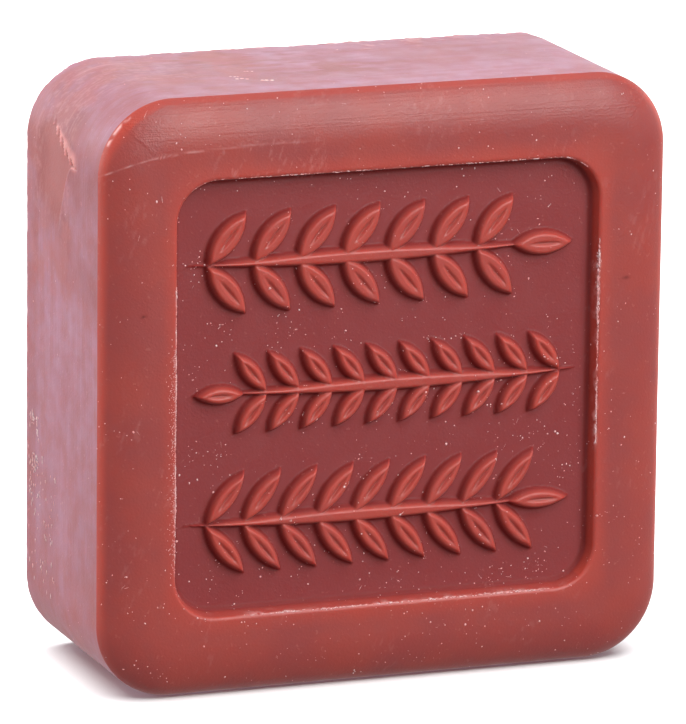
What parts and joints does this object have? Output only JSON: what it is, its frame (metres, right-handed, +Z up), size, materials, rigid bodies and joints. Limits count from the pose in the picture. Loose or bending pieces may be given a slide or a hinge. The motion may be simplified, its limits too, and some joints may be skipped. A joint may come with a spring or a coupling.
{
  "type": "pressed soap bar",
  "caption": "Square bar of red clay soap with round corners, a crowned front edge and a sunk panel carrying rows of raised leaf sprigs, standing on its edge.",
  "frame": {"origin": "middle of the footprint, at the bottom of the bar as it stands on its lower edge", "axes": "+Z up along the bar's height, +X along its width, -Y out of the sunk panel, +Y out of the flat back"},
  "size_m": [0.063, 0.0258, 0.0637],
  "materials": {
    "soap": "satin terracotta soap with a dull pinkish bloom on the sides, top and back"
  },
  "bodies": {
    "root": {"soap_bar": "soap"}
  },
  "joints": []
}
